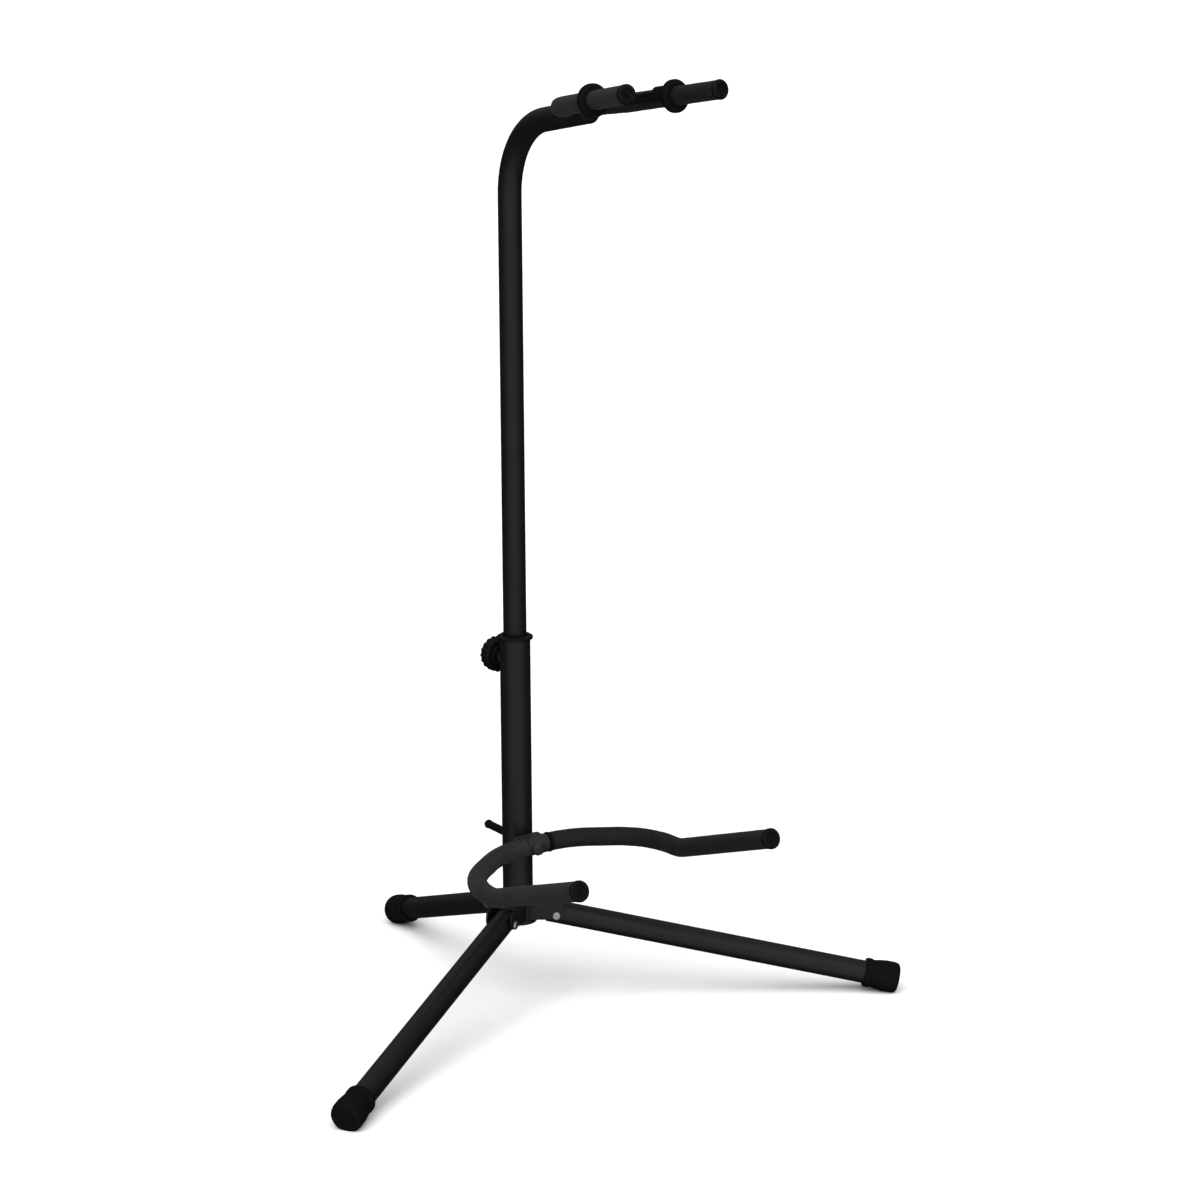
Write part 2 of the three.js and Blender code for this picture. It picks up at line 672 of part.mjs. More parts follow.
function yoke() {
  const line = yokeLine();
  const length = lineLength(line);
  const half = length / 2;
  const foamFrom = CAP_DEPTH + GAP;
  const rodLine = stretch(line, ROD_SHORT, length - ROD_SHORT);
  const parts = [piece('yoke_rod', tubeAlong(rodLine, YOKE_ROD_R, 0, ROD_SIDES), 'coated_steel')];
  const sides = {
    left: {
      foam: stretch(line, foamFrom, half - FOAM_SPLIT),
      tip: [line[0], line[1]],
      ring: RING_FROM_TIP,
    },
    right: {
      foam: stretch(line, half + FOAM_SPLIT, length - foamFrom),
      tip: [line.at(-1), line.at(-2)],
      ring: length - RING_FROM_TIP,
    },
  };
  const ringPlaces = {};
  for (const [side, where] of Object.entries(sides)) {
    const foam = tubeAlong(where.foam, YOKE_FOAM_R, YOKE_ROD_R + FREE, ROD_SIDES);
    parts.push(piece(`yoke_foam_${side}`, foam, 'foam'));
    const [tip, behind] = where.tip;
    const outward = tip.clone().sub(behind);
    const cap = tipCap(`yoke_cap_${side}`, YOKE_CAP_R, YOKE_ROD_R);
    parts.push(aimed(cap, tip, outward));
    const place = stretch(line, where.ring, where.ring + 1)[0];
    ringPlaces[side] = place;
    parts.push(aimed(yokeRing(`yoke_ring_${side}`, side === 'right'), place, outward));
  }
  parts.push(neckStrap(ringPlaces.left, ringPlaces.right));
  return parts;
}

// ---- the whole stand ----

const mastFrame = new THREE.Group();
mastFrame.position.y = MAST_Y;
mastFrame.add(lowerMastTube(), mastCollar(), knobBoss(), legHub(), hubPlug(), footBush());
mastFrame.add(...upperMast(), ...yoke(), ...knob(), ...cradlePivot());
const cradleFrame = new THREE.Group();
cradleFrame.position.z = CRADLE_Z;
cradleFrame.rotation.y = radians(CRADLE_TILT);
cradleFrame.add(...cradle());
mastFrame.add(cradleFrame);
for (const leg of LEGS) {
  const legFrame = new THREE.Group();
  legFrame.rotation.z = radians(leg.turn);
  legFrame.add(legRivet(leg), legTube(leg), legBoot(leg));
  mastFrame.add(legFrame);
}

const stand = new THREE.Group();
stand.add(mastFrame);
export default stand;
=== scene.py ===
"""Looks of the folding guitar stand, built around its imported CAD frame. Metres, in the CAD frame."""

import math

import bmesh
import bpy
import numpy as np
from mathutils import Matrix, Vector, noise


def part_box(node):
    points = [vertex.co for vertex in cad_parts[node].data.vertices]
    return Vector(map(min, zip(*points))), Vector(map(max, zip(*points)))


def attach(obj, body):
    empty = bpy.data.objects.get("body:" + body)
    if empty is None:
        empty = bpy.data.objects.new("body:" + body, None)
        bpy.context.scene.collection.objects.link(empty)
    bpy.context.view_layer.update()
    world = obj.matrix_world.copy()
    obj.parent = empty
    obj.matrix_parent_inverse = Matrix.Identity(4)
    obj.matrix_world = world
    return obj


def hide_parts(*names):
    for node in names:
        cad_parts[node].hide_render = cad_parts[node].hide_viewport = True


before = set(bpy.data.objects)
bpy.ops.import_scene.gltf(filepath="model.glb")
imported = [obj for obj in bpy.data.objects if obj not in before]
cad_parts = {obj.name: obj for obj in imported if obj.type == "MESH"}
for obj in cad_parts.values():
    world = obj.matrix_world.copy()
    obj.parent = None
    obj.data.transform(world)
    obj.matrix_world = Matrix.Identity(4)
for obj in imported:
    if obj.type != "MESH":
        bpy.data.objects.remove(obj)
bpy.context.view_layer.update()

# ---- driving dimensions, in millimetres from the mast's axis, as the CAD states them ----

MM = 0.001
tube_low, tube_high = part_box("lower_mast_tube")
MAST = Vector(((tube_low.x + tube_high.x) / 2, (tube_low.y + tube_high.y) / 2, 0))

WALL = 1.2
LOWER_R = 12.5
LOWER_BOTTOM = 63
LOWER_TOP = 303.7
UPPER_R = 9.5
UPPER_BOTTOM = 212
NECK_BEND_Z = 716.7
NECK_BEND_R = 62.4
NECK_REACH = 113.5
NECK_RISE = 0.1655
KNOB_Z = 285
HUB_RING_R = 15.6
HUB_BOTTOM = 62.1
HUB_TOP = 84
EAR_INNER = 9.9
EAR_THICK = 1.9
EAR_ROOT = 9.5
EAR_BOTTOM = 66
EAR_TOP = 81.5
EAR_END = 39
STOP_END = 26.2
PIVOT_R = 32
PIVOT_Z = 69.4
LEG_R = 9.5
FOOT_Z = 10.2
LEGS = {"right": (56, 316.4), "left": (-56, 316.4), "rear": (180, 208.6)}
CRADLE_Y = -24.5
CRADLE_Z = 133.4
CRADLE_TILT = math.radians(-2.8)  # the cradle hangs this far off level, its right side up
CRADLE_FOAM_R = 7.75
CAP_DEPTH = 3
CAP_FACE = 1.8
ROD_SHORT = 2.1 * MM  # how far a rod's end stops short of its tip, inside the cap
BRACKET_HALF = 12.4
KNUCKLE_LEFT = -6.6
YOKE_Y = -105.5
YOKE_Z = NECK_BEND_Z - YOKE_Y * NECK_RISE + 4.2
YOKE_BEND_R = 28
YOKE_FOAM_R = 7.15
YOKE_FOAM_SPLIT = 11.6  # from the yoke's middle to the start of each sleeve
RING_FROM_TIP = 53
TAB_TURN = math.radians(60)  # round the ring from its top to the pull tab
STRAP_DEPTH = 25  # how far in front of the yoke's bar the band lies
STRAP_BEND_R = 11
STRAP_THICK, STRAP_HEIGHT = 1.8, 6.8

BOLT_PLACE = Matrix.Translation((0, 0, CRADLE_Z * MM))
ROUND = 72  # sides of a turned or swept piece
BEND_STEP = math.radians(2)
SMOOTH_ANGLE = math.radians(38)


def at(x, y, z):
    """A point given in millimetres from the mast's axis, in the CAD frame in metres."""
    return Vector((x, y, z)) * MM + MAST


# ---- lines ----


def bent_line(corners, radii):
    """The centre line of a bent tube: straights that would meet at corners, joined by round bends."""
    line = [corners[0]]
    for before, corner, after, radius in zip(corners, corners[1:], corners[2:], radii):
        arriving = (corner - before).normalized()
        leaving = (after - corner).normalized()
        bend = arriving.angle(leaving)
        start = corner - arriving * radius * math.tan(bend / 2)
        inward = (leaving - arriving * leaving.dot(arriving)).normalized()
        centre = start + inward * radius
        steps = math.ceil(bend / BEND_STEP)
        for k in range(steps + 1):
            angle = bend * k / steps
            reach = arriving * math.sin(angle) - inward * math.cos(angle)
            line.append(centre + reach * radius)
    line.append(corners[-1])
    return np.array(line)


def distances(line):
    """How far along a line each of its points is."""
    steps = np.linalg.norm(np.diff(line, axis=0), axis=1)
    return np.concatenate([[0], np.cumsum(steps)])


def stretch(line, start, end, spacing):
    """Evenly spaced points on a line, between two distances from its start."""
    along = distances(line)
    count = max(2, round((end - start) / spacing) + 1)
    where = np.linspace(start, end, count)
    return np.stack([np.interp(where, along, line[:, k]) for k in range(3)], axis=1)


def mirrored(points):
    """The same points on the stand's other side, in the opposite order."""
    return [Vector((2 * MAST.x - p.x, p.y, p.z)) for p in reversed(points)]


def travelling_axes(line):
    """Tangent and two cross directions at each point, carried along without twist."""
    tangents = np.gradient(line, axis=0)
    tangents /= np.linalg.norm(tangents, axis=1)[:, None]
    first = Vector(tangents[0]).orthogonal().normalized()
    across = [np.array(first)]
    for tangent in tangents[1:]:
        side = across[-1] - tangent * across[-1].dot(tangent)
        across.append(side / np.linalg.norm(side))
    across = np.array(across)
    return tangents, across, np.cross(tangents, across)


# ---- shells: (points, faces) pairs ----


def skin(loops, closed=False, start=None, end=None):
    """Joins rings of points into a surface. closed joins the last ring to the first; otherwise
    the ends close on the points start and end, or on the middles of the end rings."""
    loops = np.asarray(loops, float)
    count, sides = loops.shape[:2]
    points = loops.reshape(-1, 3).tolist()
    faces = []
    for i in range(count if closed else count - 1):
        a, b = i * sides, (i + 1) % count * sides
        for j in range(sides):
            k = (j + 1) % sides
            faces.append((a + j, a + k, b + k, b + j))
    if not closed:
        first = loops[0].mean(0) if start is None else start
        last = loops[-1].mean(0) if end is None else end
        poles = [first, last]
        for ring, pole in zip((0, (count - 1) * sides), poles):
            middle = len(points)
            points.append(list(pole))
            for j in range(sides):
                faces.append((ring + j, ring + (j + 1) % sides, middle))
    return points, faces


def merged(*shells):
    """Several shells as one."""
    points, faces = [], []
    for more_points, more_faces in shells:
        first = len(points)
        points += more_points
        faces += [tuple(first + i for i in face) for face in more_faces]
    return points, faces


def rounded(outline, radius, closed=False, steps=5):
    """A 2-D outline with its corners rounded. radius is one number, or one for each corner."""
    points = [Vector(p) for p in outline]
    radii = radius if hasattr(radius, "__len__") else [radius] * len(points)
    result = []
    for i, (corner, wanted) in enumerate(zip(points, radii)):
        if not closed and i in (0, len(points) - 1):
            result.append(corner)
            continue
        back, ahead = points[i - 1] - corner, points[(i + 1) % len(points)] - corner
        half = back.angle(ahead) / 2
        room = min(back.length, ahead.length) * 0.49
        cut = min(wanted / math.tan(half), room) if half > 1e-3 else 0
        if cut < 1e-6 or half > math.radians(88):
            result.append(corner)
            continue
        first, last = corner + back.normalized() * cut, corner + ahead.normalized() * cut
        for k in range(steps + 1):
            t = k / steps
            result.append((1 - t) ** 2 * first + 2 * t * (1 - t) * corner + t**2 * last)
    return [(p.x, p.y) for p in result]


def turned(profile, sides=ROUND, shape=None):
    """Revolves (radius, height) points in millimetres about Z. shape(angles, radius) may change
    the radii round a ring. A profile that starts or ends on the axis closes there."""
    angles = np.arange(sides) * 2 * math.pi / sides
    closed = profile[0] == profile[-1]
    rings = [p for p in (profile[:-1] if closed else profile) if p[0] > 1e-6]
    loops = []
    for radius, height in rings:
        radii = shape(angles, radius) if shape else np.full(sides, radius)
        ring = [radii * np.cos(angles), radii * np.sin(angles), np.full(sides, height)]
        loops.append(np.stack(ring, axis=1) * MM)
    poles = [None, None]
    if not closed:
        poles = [Vector((0, 0, p[1] * MM)) if p[0] <= 1e-6 else None for p in (profile[0], profile[-1])]
    return skin(loops, closed, *poles)


def placed(shell, origin, direction):
    """A shell moved to an origin with its Z axis turned to a direction."""
    turn = Vector((0, 0, 1)).rotation_difference(Vector(direction)).to_matrix()
    matrix = Matrix.Translation(origin) @ turn.to_4x4()
    points, faces = shell
    return [list(matrix @ Vector(p)) for p in points], faces


def swept(line, radii, sides=ROUND):
    """Rings round a line. radii is a number or an array, in metres."""
    _, across, up = travelling_axes(line)
    angles = np.arange(sides) * 2 * math.pi / sides
    radii = np.broadcast_to(np.asarray(radii, float).reshape(-1, 1), (len(line), 1))
    ring = across[:, None] * np.cos(angles)[None, :, None] + up[:, None] * np.sin(angles)[None, :, None]
    return line[:, None] + ring * radii[:, :, None]


def hollow_tube(line, outer, inner, lip=0.35 * MM):
    """A tube with rounded rims, open at both ends."""
    along = distances(line)
    length = along[-1]
    inside = along[(along > lip) & (along < length - lip)]
    rim = np.array([0, lip * 0.3, lip])
    places = np.concatenate([rim, inside, (length - rim)[::-1]])
    points = np.stack([np.interp(places, along, line[:, k]) for k in range(3)], axis=1)
    from_edge = np.clip(np.minimum(places, length - places) / lip, 0, 1)
    outer_radii = outer - lip * (1 - np.sqrt(1 - (1 - from_edge) ** 2))
    walls = [swept(points, outer_radii), swept(points, inner)[::-1]]
    return skin(np.concatenate(walls), closed=True)


def plate(outline, thickness, place, bevel=0.5):
    """A flat sheet: an outline of 2-D points in millimetres, set in space by place(u, v, w)."""
    flat = np.array(outline)
    middle = flat.mean(0)
    edges = np.roll(flat, -1, axis=0) - np.roll(flat, 1, axis=0)
    normals = np.stack([edges[:, 1], -edges[:, 0]], axis=1)
    normals /= np.linalg.norm(normals, axis=1)[:, None] + 1e-12
    if ((flat - middle) * normals).sum() < 0:
        normals = -normals
    half = thickness / 2
    levels = [(bevel, -half), (bevel * 0.3, -half + bevel * 0.3), (0, -half + bevel)]
    levels += [(inset, -height) for inset, height in reversed(levels)]
    loops = []
    for inset, height in levels:
        loops.append([place(*(p - n * inset), height) for p, n in zip(flat, normals)])
    return skin(loops, start=place(*middle, -half), end=place(*middle, half))


# ---- materials ----


def new_look(name, **sockets):
    """A material whose shader sockets are set, with its tree, shader and object coordinates."""
    look = bpy.data.materials.new(name)
    look.use_nodes = True
    tree = look.node_tree
    shader = tree.nodes["Principled BSDF"]
    for socket, value in sockets.items():
        shader.inputs[socket.replace("_", " ")].default_value = value
    coordinates = tree.nodes.new("ShaderNodeTexCoord").outputs["Object"]
    return look, tree, shader, coordinates


def grain(tree, coordinates, scale, detail=2.0, roughness=0.5):
    """Perlin noise at so many cells a metre."""
    texture = tree.nodes.new("ShaderNodeTexNoise")
    texture.inputs["Scale"].default_value = scale
    texture.inputs["Detail"].default_value = detail
    texture.inputs["Roughness"].default_value = roughness
    tree.links.new(coordinates, texture.inputs["Vector"])
    return texture.outputs["Fac"]


def cells(tree, coordinates, scale):
    """Distance to the nearest cell's middle, at so many cells a metre."""
    texture = tree.nodes.new("ShaderNodeTexVoronoi")
    texture.inputs["Scale"].default_value = scale
    tree.links.new(coordinates, texture.inputs["Vector"])
    return texture.outputs["Distance"]


def ramp(tree, value, low, high):
    """Maps a value from 0 to 1 onto two numbers or two colours."""
    node = tree.nodes.new("ShaderNodeMix")
    first, output = 2, 0  # the node's number sockets
    if isinstance(low, tuple):
        node.data_type = "RGBA"
        first, output = 6, 2  # its colour sockets
        low, high = (*low, 1), (*high, 1)
    node.inputs[first].default_value = low
    node.inputs[first + 1].default_value = high
    tree.links.new(value, node.inputs[0])
    return node.outputs[output]


def feed(tree, shader, socket, value, low, high):
    """Sets a socket of the shader from a value from 0 to 1, spread between two limits."""
    tree.links.new(ramp(tree, value, low, high), shader.inputs[socket])


def bump(tree, shader, layers):
    """Stacks (height, distance in metres, strength) layers into the shader's normal."""
    normal = None
    for height, distance, strength in layers:
        node = tree.nodes.new("ShaderNodeBump")
        node.inputs["Distance"].default_value = distance
        node.inputs["Strength"].default_value = strength
        tree.links.new(height, node.inputs["Height"])
        if normal is not None:
            tree.links.new(normal, node.inputs["Normal"])
        normal = node.outputs["Normal"]
    tree.links.new(normal, shader.inputs["Normal"])


def powder_coat(name, dark, light):
    look, tree, shader, where = new_look(name, Specular_IOR_Level=0.42)
    cloud = grain(tree, where, 35, 3)
    feed(tree, shader, "Base Color", cloud, dark, light)
    feed(tree, shader, "Roughness", grain(tree, where, 90, 4), 0.3, 0.42)
    fine, broad = grain(tree, where, 1400, 2), grain(tree, where, 260, 2)
    bump(tree, shader, [(fine, 0.00012, 0.22), (broad, 0.0002, 0.1)])
    return look


def bright_steel():
    look, tree, shader, where = new_look("zinc_plate", Metallic=1.0)
    cloud = grain(tree, where, 900, 4)
    feed(tree, shader, "Base Color", cloud, (0.5, 0.5, 0.52), (0.74, 0.74, 0.74))
    feed(tree, shader, "Roughness", grain(tree, where, 1600, 3), 0.18, 0.38)
    bump(tree, shader, [(grain(tree, where, 2600, 2), 0.00008, 0.2)])
    return look


def moulded_plastic():
    look, tree, shader, where = new_look("moulded_plastic", Specular_IOR_Level=0.18)
    cloud = grain(tree, where, 120, 3)
    feed(tree, shader, "Base Color", cloud, (0.0015, 0.0015, 0.0015), (0.004, 0.004, 0.004))
    feed(tree, shader, "Roughness", grain(tree, where, 400, 3), 0.42, 0.58)
    bump(tree, shader, [(grain(tree, where, 3200, 2), 0.0001, 0.3)])
    return look


def gloss_plastic():
    look, tree, shader, where = new_look("gloss_plastic", Specular_IOR_Level=0.14)
    cloud = grain(tree, where, 150, 3)
    feed(tree, shader, "Base Color", cloud, (0.002, 0.002, 0.002), (0.005, 0.005, 0.005))
    feed(tree, shader, "Roughness", grain(tree, where, 300, 3), 0.16, 0.28)
    bump(tree, shader, [(grain(tree, where, 500, 2), 0.00008, 0.12)])
    return look


def black_rubber():
    look, tree, shader, where = new_look("soft_rubber", Specular_IOR_Level=0.14)
    cloud = grain(tree, where, 60, 4, 0.6)
    feed(tree, shader, "Base Color", cloud, (0.0015, 0.0015, 0.0015), (0.004, 0.0039, 0.0038))
    feed(tree, shader, "Roughness", grain(tree, where, 250, 3), 0.62, 0.8)
    fine, broad = grain(tree, where, 2200, 3), grain(tree, where, 220, 2)
    bump(tree, shader, [(fine, 0.00015, 0.35), (broad, 0.0003, 0.12)])
    return look


def foam_skin(name, dark, light):
    look, tree, shader, where = new_look(name, Specular_IOR_Level=0.26, Sheen_Weight=0.03)
    shader.inputs["Sheen Roughness"].default_value = 0.5
    cloud = grain(tree, where, 70, 4, 0.6)
    feed(tree, shader, "Base Color", cloud, dark, light)
    feed(tree, shader, "Roughness", grain(tree, where, 500, 3), 0.46, 0.66)
    bump(
        tree,
        shader,
        [
            (cells(tree, where, 1900), 0.00025, 0.35),
            (grain(tree, where, 700, 3, 0.6), 0.0003, 0.3),
            (grain(tree, where, 140, 2), 0.0005, 0.2),
        ],
    )
    return look


def weld_metal():
    look, tree, shader, where = new_look("weld_metal", Specular_IOR_Level=0.42)
    cloud = grain(tree, where, 300, 3)
    feed(tree, shader, "Base Color", cloud, (0.006, 0.006, 0.006), (0.01, 0.01, 0.01))
    feed(tree, shader, "Roughness", grain(tree, where, 600, 3), 0.32, 0.5)
    bump(tree, shader, [(grain(tree, where, 900, 3), 0.0003, 0.3)])
    return look


COAT = powder_coat("powder_coat", (0.0036, 0.0033, 0.0035), (0.0062, 0.0056, 0.0059))
# A lighter grey coat than the tubes', used on the cradle bracket and the pivot bolt.
LIGHTER_COAT = powder_coat("lighter_coat", (0.006, 0.006, 0.006), (0.018, 0.018, 0.018))
BRIGHT = bright_steel()
PLASTIC = moulded_plastic()
GLOSS = gloss_plastic()
RUBBER = black_rubber()
# Two copies of one foam: a lighter one that paints light on the near sleeves, and a darker one that
# paints shade on the far sleeves.
FOAM_LIT = foam_skin("foam_skin", (0.008, 0.0078, 0.0078), (0.02, 0.0194, 0.0194))
FOAM_PAINTED_SHADE = foam_skin("foam_skin_painted_shade", (0.0036, 0.0032, 0.0033), (0.0085, 0.0075, 0.0078))
WELD = weld_metal()


def piece(name, shell, look, body, replaced=()):
    """A shown piece of the stand, riding on a body and standing for its CAD nodes."""
    points, faces = shell
    mesh = bpy.data.meshes.new(name)
    mesh.from_pydata(points, [], faces)
    if body == "cradle":
        mesh.transform(BOLT_PLACE @ Matrix.Rotation(CRADLE_TILT, 4, "Y") @ BOLT_PLACE.inverted())
    work = bmesh.new()
    work.from_mesh(mesh)
    bmesh.ops.recalc_face_normals(work, faces=work.faces)
    work.to_mesh(mesh)
    work.free()
    mesh.polygons.foreach_set("use_smooth", [True] * len(mesh.polygons))
    mesh.set_sharp_from_angle(angle=SMOOTH_ANGLE)
    mesh.materials.append(look)
    thing = bpy.data.objects.new(name, mesh)
    bpy.context.scene.collection.objects.link(thing)
    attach(thing, body)
    if replaced:
        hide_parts(*replaced)
    return thing


# ---- camera, floor and light ----

CAMERA_PLACE = (-1252.6, -2039.0, 914.9)
CAMERA_AIM = (78.1, -4.8, 331.4)
CAMERA_ROLL = math.radians(-0.306)
CAMERA_LENS = 91.05
SENSOR_WIDTH = 36
SHIFT_X, SHIFT_Y = 0.0014, -0.0053


def make_camera():
    data = bpy.data.cameras.new("camera")
    data.lens = CAMERA_LENS
    data.sensor_width = SENSOR_WIDTH
    data.shift_x, data.shift_y = SHIFT_X, SHIFT_Y
    camera = bpy.data.objects.new("camera", data)
    bpy.context.scene.collection.objects.link(camera)
    place, aim = at(*CAMERA_PLACE), at(*CAMERA_AIM)
    look_at = (aim - place).to_track_quat("-Z", "Y").to_matrix()
    roll = Matrix.Rotation(CAMERA_ROLL, 3, "Z")
    camera.matrix_world = Matrix.Translation(place) @ (look_at @ roll).to_4x4()
    bpy.context.scene.camera = camera


FLOOR_HALF = 150  # metres, so that the floor runs to the horizon


def make_floor():
    mesh = bpy.data.meshes.new("floor")
    half = FLOOR_HALF
    corners = [(-half, -half, 0), (half, -half, 0), (half, half, 0), (-half, half, 0)]
    mesh.from_pydata(corners, [], [(0, 1, 2, 3)])
    floor = bpy.data.objects.new("floor", mesh)
    bpy.context.scene.collection.objects.link(floor)
    look = bpy.data.materials.new("floor")
    look.use_nodes = True
    shader = look.node_tree.nodes["Principled BSDF"]
    shader.inputs["Base Color"].default_value = (0.94, 0.94, 0.94, 1)
    shader.inputs["Roughness"].default_value = 0.9
    shader.inputs["Specular IOR Level"].default_value = 0.0
    mesh.materials.append(look)
    floor.visible_glossy = False


BRIGHT_SIDE = Vector((-0.45, -0.85, 0.1))
WORLD_DIM = 0.03
WORLD_BRIGHT = 0.55
WORLD_ABOVE = 0.3  # what the zenith adds
SUN_FROM = Vector((-0.35, -0.45, 1))
SUN_STRENGTH = 3.5
SUN_SPREAD = math.radians(80)


def make_world():
    """A bright front and a dim back, as a black object is lit against a white sweep."""
    world = bpy.data.worlds.new("studio")
    world.use_nodes = True
    tree = world.node_tree
    background = tree.nodes["Background"]
    background.inputs["Color"].default_value = (1, 1, 1, 1)
    direction = tree.nodes.new("ShaderNodeTexCoord").outputs["Generated"]
    facing = tree.nodes.new("ShaderNodeVectorMath")
    facing.operation = "DOT_PRODUCT"
    facing.inputs[1].default_value = BRIGHT_SIDE.normalized()
    tree.links.new(direction, facing.inputs[0])
    spread = tree.nodes.new("ShaderNodeMapRange")
    spread.interpolation_type = "SMOOTHSTEP"
    spread.inputs["From Min"].default_value = 0.0
    spread.inputs["From Max"].default_value = 1.0
    spread.inputs["To Min"].default_value = WORLD_DIM
    spread.inputs["To Max"].default_value = WORLD_BRIGHT
    tree.links.new(facing.outputs["Value"], spread.inputs["Value"])
    height = tree.nodes.new("ShaderNodeSeparateXYZ")
    tree.links.new(direction, height.inputs[0])
    above = tree.nodes.new("ShaderNodeMapRange")
    above.inputs["To Max"].default_value = WORLD_ABOVE
    tree.links.new(height.outputs["Z"], above.inputs["Value"])
    total = tree.nodes.new("ShaderNodeMath")
    tree.links.new(spread.outputs["Result"], total.inputs[0])
    tree.links.new(above.outputs["Result"], total.inputs[1])
    # The sky itself shows white above the floor's edge, from every side.
    shown = tree.nodes.new("ShaderNodeMath")
    shown.operation = "MAXIMUM"
    tree.links.new(total.outputs["Value"], shown.inputs[0])
    tree.links.new(tree.nodes.new("ShaderNodeLightPath").outputs["Is Camera Ray"], shown.inputs[1])
    tree.links.new(shown.outputs["Value"], background.inputs["Strength"])
    bpy.context.scene.world = world
    bpy.context.scene.view_settings.view_transform = "Standard"


def make_sun():
    sun = bpy.data.lights.new("sun", "SUN")
    sun.energy = SUN_STRENGTH
    sun.angle = SUN_SPREAD
    light = bpy.data.objects.new("sun", sun)
    bpy.context.scene.collection.objects.link(light)
    light.visible_glossy = False
    light.rotation_euler = SUN_FROM.to_track_quat("Z", "Y").to_euler()


make_camera()
make_floor()
make_world()
make_sun()

# ---- mast ----


def upright_line(bottom, top):
    """The mast's axis between two heights."""
    return stretch(np.array([at(0, 0, bottom), at(0, 0, top)]), 0, (top - bottom) * MM, 12 * MM)


def make_lower_mast():
    tube = hollow_tube(upright_line(LOWER_BOTTOM, LOWER_TOP), LOWER_R * MM, (LOWER_R - WALL) * MM)
    piece("lower_mast_tube_skin", tube, COAT, "base", ["lower_mast_tube"])
    bore, skirt, flange = UPPER_R + 0.25, LOWER_R - WALL - 0.3, 14.7
    bottom, seat, top = 262.4, LOWER_TOP + 0.15, 307.2
    outline = [
        (bore, bottom), (skirt, bottom), (skirt, seat), (flange, seat), (flange, top - 1.3),
        (flange - 2.2, top), (bore + 0.6, top), (bore, top - 0.6), (bore, bottom),
    ]
    outline = rounded(outline, [0, 0.4, 0.1, 0.5, 0.7, 0.8, 0.3, 0.3, 0])
    collar = placed(turned(outline), MAST, (0, 0, 1))
    piece("mast_collar_moulding", collar, PLASTIC, "base", ["mast_collar"])


def make_upper_mast():
    end = at(0, -NECK_REACH, NECK_BEND_Z + NECK_REACH * NECK_RISE)
    line = bent_line([at(0, 0, UPPER_BOTTOM), at(0, 0, NECK_BEND_Z), end], [NECK_BEND_R * MM])
    tube = hollow_tube(line, UPPER_R * MM, (UPPER_R - WALL) * MM)
    piece("upper_mast_tube_skin", tube, COAT, "upper_mast", ["upper_mast_tube"])
    direction = Vector(line[-1] - line[-2]).normalized()
    outline = [(0, -2.2), (8, -2.2), (8, 0.1), (9.6, 0.1), (9.6, 1.6), (7.4, 3.8), (0, 4.4)]
    plug = placed(turned(rounded(outline, [0, 0.3, 0.1, 0.3, 1, 2, 0])), end, direction)
    piece("gooseneck_plug_moulding", plug, GLOSS, "upper_mast", ["gooseneck_plug"])


def make_foot_bush():
    bottom, top = 204, UPPER_BOTTOM - 0.3
    outline = [
        (0, bottom), (10, bottom), (11, bottom + 1), (11, top), (8, top), (8, top + 7),
        (7, top + 8), (0, top + 8),
    ]
    bush = placed(turned(rounded(outline, 0.4)), MAST, (0, 0, 1))
    piece("tube_foot_bush_moulding", bush, PLASTIC, "foot_bush", ["tube_foot_bush"])


make_lower_mast()
make_upper_mast()
make_foot_bush()

# ---- height knob ----

BACK = (0, 1, 0)  # the way the knob and the cradle bolt point


def weld_bead(name, centre, axis, radius, thickness, ripples, body):
    """A ring of overlapping weld puddles."""
    count = ripples * 6
    angles = np.arange(count) * 2 * math.pi / count
    puddle = np.abs(np.sin(angles * ripples / 2))
    sides = 14
    around = np.arange(sides) * 2 * math.pi / sides
    loops = []
    for angle, swell in zip(angles, puddle):
        wander = noise.noise(Vector((math.cos(angle) * 3, math.sin(angle) * 3, radius)))
        size = thickness * (0.86 + 0.2 * swell + 0.12 * wander)
        radii = radius + size * np.cos(around)
        ring = [radii * math.cos(angle), radii * math.sin(angle), size * np.sin(around)]
        loops.append(np.stack(ring, axis=1) * MM)
    bead = placed(skin(loops, closed=True), centre, axis)
    return piece(name, bead, WELD, body)


